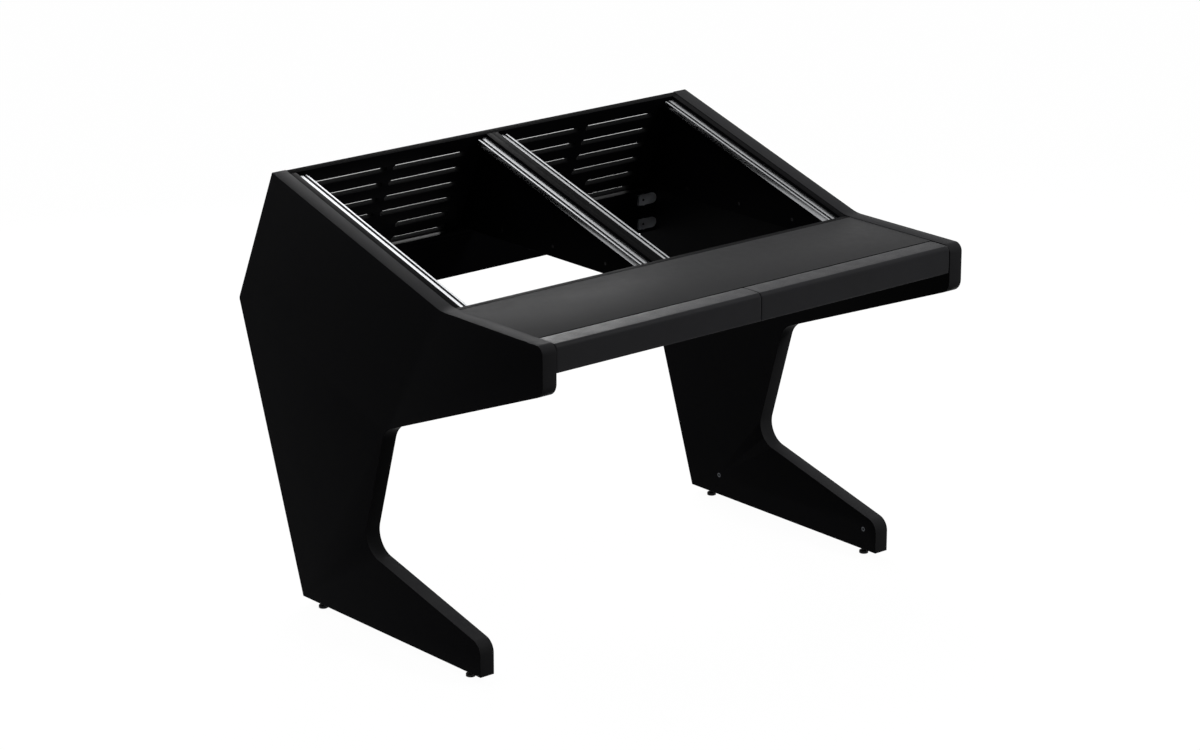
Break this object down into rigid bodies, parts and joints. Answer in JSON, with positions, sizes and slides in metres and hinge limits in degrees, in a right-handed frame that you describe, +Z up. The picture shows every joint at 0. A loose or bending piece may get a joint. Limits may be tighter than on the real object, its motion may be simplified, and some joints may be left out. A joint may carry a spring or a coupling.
{
  "type": "studio desk",
  "caption": "Studio desk with two sloped 19 inch rack bays above a slotted rear panel, a flat desk top with padded armrests and C-shaped side panels on levelling feet.",
  "frame": {"origin": "on the floor below the middle of the desk's outer box, with the feet screwed right in", "axes": "+X to the user's right, +Y to the rear, +Z up"},
  "size_m": [1.13, 0.9986, 0.9217],
  "materials": {
    "black_laminate": "black melamine-faced board, fine matt texture",
    "black_leatherette": "black leatherette, low sheen",
    "plywood": "raw birch plywood",
    "beech": "raw beech",
    "anodised_aluminium": "natural anodised extrusion",
    "black_zinc": "black zinc-plated steel",
    "zinc": "bright zinc-plated steel",
    "black_screw": "black oxide",
    "black_plastic": "black nylon"
  },
  "bodies": {
    "desk": {"left_side_panel": "black_laminate", "right_side_panel": "black_laminate", "left_bay_outer_board": "black_laminate", "left_bay_inner_board": "black_laminate", "right_bay_inner_board": "black_laminate", "right_bay_outer_board": "black_laminate", "front_board": "black_laminate", "vent_board": "black_laminate", "lower_back_board": "black_laminate", "desk_top": "black_laminate", "front_rail": "black_laminate", "left_armrest_core": "plywood", "right_armrest_core": "plywood", "left_armrest_pad": "black_leatherette", "right_armrest_pad": "black_leatherette", "left_bay_left_rail": "anodised_aluminium", "left_bay_left_strip": "black_zinc", "left_bay_right_rail": "anodised_aluminium", "left_bay_right_strip": "black_zinc", "right_bay_left_rail": "anodised_aluminium", "right_bay_left_strip": "black_zinc", "right_bay_right_rail": "anodised_aluminium", "right_bay_right_strip": "black_zinc", "rail_screws": "zinc", "armrest_screws": "zinc", "cam_locks": "zinc", "cam_bolts": "zinc", "connector_plates": "zinc", "connector_bolts": "zinc", "panel_inserts": "zinc", "foot_inserts": "zinc", "bay_screws": "black_screw", "wooden_dowels": "beech"},
    "front_left_foot_pad_body": {"front_left_foot_pad": "black_plastic"},
    "front_left_foot_stem_body": {"front_left_foot_stem": "black_plastic"},
    "front_right_foot_pad_body": {"front_right_foot_pad": "black_plastic"},
    "front_right_foot_stem_body": {"front_right_foot_stem": "black_plastic"},
    "rear_left_foot_pad_body": {"rear_left_foot_pad": "black_plastic"},
    "rear_left_foot_stem_body": {"rear_left_foot_stem": "black_plastic"},
    "rear_right_foot_pad_body": {"rear_right_foot_pad": "black_plastic"},
    "rear_right_foot_stem_body": {"rear_right_foot_stem": "black_plastic"}
  },
  "joints": [
    {"name": "front_left_foot_lower", "type": "slide", "parent": "desk", "child": "front_left_foot_pad_body", "axis": [0, 0, -1], "range_m": [0, 0.012]},
    {"name": "front_left_foot_turn", "type": "hinge", "parent": "front_left_foot_pad_body", "child": "front_left_foot_stem_body", "pos_m": [-0.5475, -0.24662, 0], "axis": [0, 0, -1], "range_deg": [0, 3456.1]},
    {"name": "front_right_foot_lower", "type": "slide", "parent": "desk", "child": "front_right_foot_pad_body", "axis": [0, 0, -1], "range_m": [0, 0.012]},
    {"name": "front_right_foot_turn", "type": "hinge", "parent": "front_right_foot_pad_body", "child": "front_right_foot_stem_body", "pos_m": [0.5475, -0.24662, 0], "axis": [0, 0, -1], "range_deg": [0, 3456.1]},
    {"name": "rear_left_foot_lower", "type": "slide", "parent": "desk", "child": "rear_left_foot_pad_body", "axis": [0, 0, -1], "range_m": [0, 0.012]},
    {"name": "rear_left_foot_turn", "type": "hinge", "parent": "rear_left_foot_pad_body", "child": "rear_left_foot_stem_body", "pos_m": [-0.5475, 0.24988, 0], "axis": [0, 0, -1], "range_deg": [0, 3456.1]},
    {"name": "rear_right_foot_lower", "type": "slide", "parent": "desk", "child": "rear_right_foot_pad_body", "axis": [0, 0, -1], "range_m": [0, 0.012]},
    {"name": "rear_right_foot_turn", "type": "hinge", "parent": "rear_right_foot_pad_body", "child": "rear_right_foot_stem_body", "pos_m": [0.5475, 0.24988, 0], "axis": [0, 0, -1], "range_deg": [0, 3456.1]}
  ],
  "couplings": [
    {"joint": "front_left_foot_turn", "follows": "front_left_foot_lower", "rad_per_m": 5026.5},
    {"joint": "front_right_foot_turn", "follows": "front_right_foot_lower", "rad_per_m": 5026.5},
    {"joint": "rear_left_foot_turn", "follows": "rear_left_foot_lower", "rad_per_m": 5026.5},
    {"joint": "rear_right_foot_turn", "follows": "rear_right_foot_lower", "rad_per_m": 5026.5}
  ]
}
